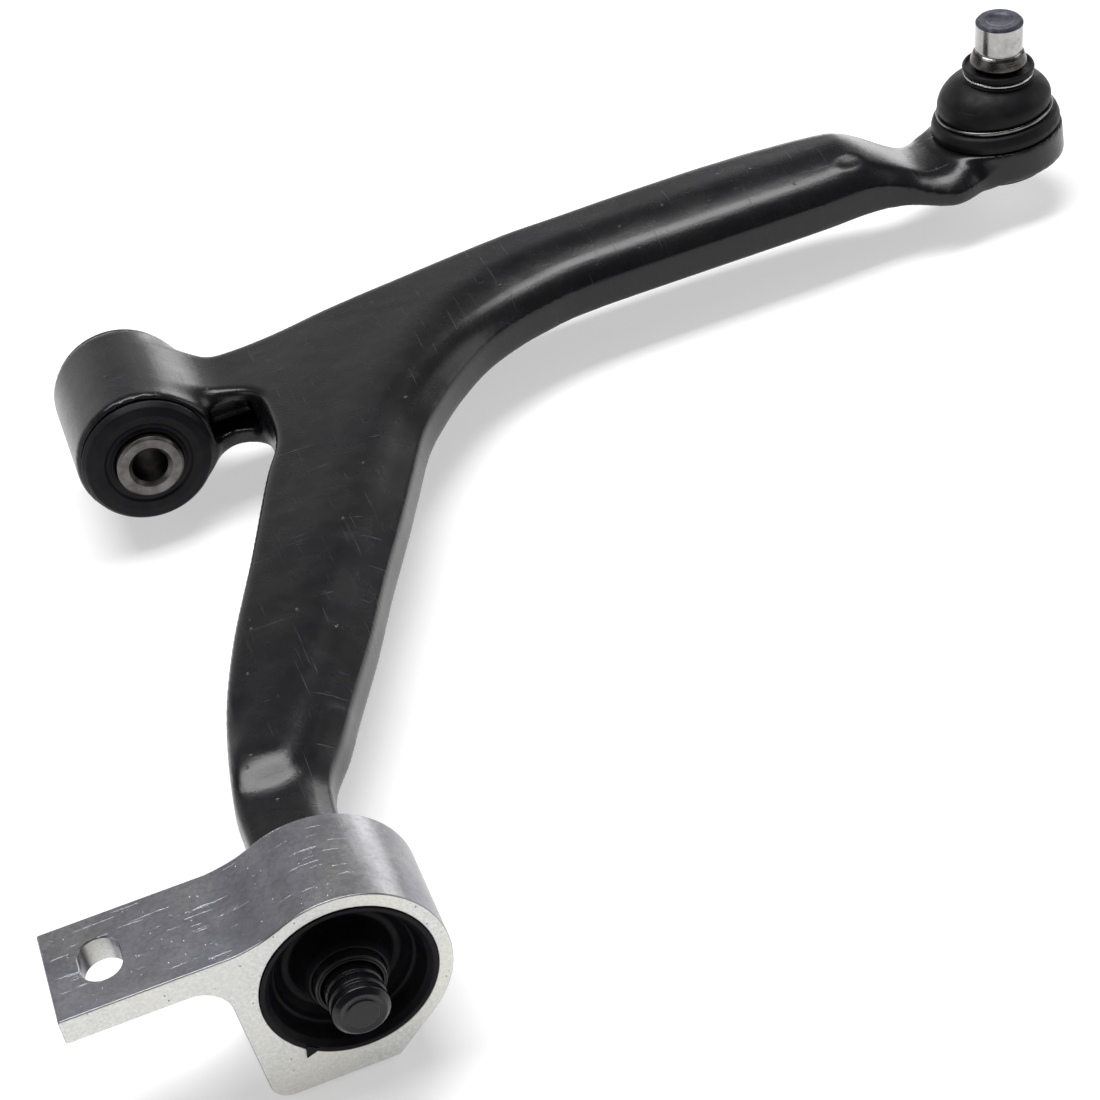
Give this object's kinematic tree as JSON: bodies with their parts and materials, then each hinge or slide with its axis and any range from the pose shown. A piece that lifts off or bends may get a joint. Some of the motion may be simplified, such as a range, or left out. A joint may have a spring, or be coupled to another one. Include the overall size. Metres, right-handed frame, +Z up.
{
  "type": "control arm",
  "caption": "L-shaped front lower suspension control arm with a transverse front bush, a bracketed rear bush and a ball joint with a pinch-bolt stud.",
  "frame": {"origin": "bottom centre of the part's bounding box, on the plane the bracket's foot stands on", "axes": "+X from the pivot axis out to the ball joint, +Y along the pivot axis from the rear bush to the front bush, +Z up along the ball joint stud's side of the arm"},
  "size_m": [0.4494, 0.362, 0.0771],
  "materials": {
    "cast_arm": "satin black coating over a cast surface",
    "bush_rubber": "moulded black rubber",
    "boot_rubber": "smooth moulded black rubber",
    "dark_steel": "phosphated dark steel",
    "sleeve_steel": "turned bare steel",
    "stud_steel": "ground bare steel",
    "ring_steel": "bright drawn wire",
    "bracket_aluminium": "extruded aluminium with sawn ends",
    "race_nylon": "moulded bearing plastic"
  },
  "bodies": {
    "arm": {"arm_body": "cast_arm", "front_bush_outer_sleeve": "dark_steel", "front_bush_rubber": "bush_rubber", "rear_bush_inner_sleeve": "dark_steel", "rear_stop_washer": "sleeve_steel", "ball_joint_housing": "dark_steel", "ball_joint_cover": "sleeve_steel", "ball_race": "race_nylon", "race_preload_ring": "bush_rubber", "boot_lower_ring": "ring_steel"},
    "front_sleeve": {"front_bush_inner_sleeve": "sleeve_steel"},
    "bracket": {"rear_bracket": "bracket_aluminium", "rear_bush_outer_sleeve": "dark_steel", "rear_bush_rubber": "bush_rubber"},
    "boot_waist": {"boot": "boot_rubber"},
    "boot_top": {"boot_collar": "boot_rubber", "boot_collar_insert": "race_nylon", "boot_upper_ring": "ring_steel"},
    "stud": {"ball_stud": "stud_steel"}
  },
  "joints": [
    {"name": "front_bush_twist", "type": "hinge", "parent": "arm", "child": "front_sleeve", "pos_m": [-0.1495, 0.1475, 0.033], "axis": [0, 1, 0], "range_deg": [-20, 20], "stiffness_Nm_per_rad": 60},
    {"name": "rear_bush_twist", "type": "hinge", "parent": "arm", "child": "bracket", "pos_m": [-0.1495, -0.1489, 0.033], "axis": [0, 1, 0], "range_deg": [-20, 20], "stiffness_Nm_per_rad": 45},
    {"name": "ball_tilt_fore_aft", "type": "hinge", "parent": "arm", "child": "boot_waist", "pos_m": [0.1995, 0.1545, 0.029], "axis": [1, 0, 0], "range_deg": [-21, 13], "deforming": ["boot"]},
    {"name": "ball_tilt_in_out", "type": "hinge", "parent": "boot_waist", "child": "boot_top", "pos_m": [0.1995, 0.1545, 0.029], "axis": [0, 0.9974, 0.0715], "range_deg": [-22, 12], "deforming": ["boot"]},
    {"name": "ball_stud_spin", "type": "hinge", "parent": "boot_top", "child": "stud", "pos_m": [0.1995, 0.1545, 0.029], "axis": [0.0906, -0.0712, 0.9933], "continuous": true}
  ]
}
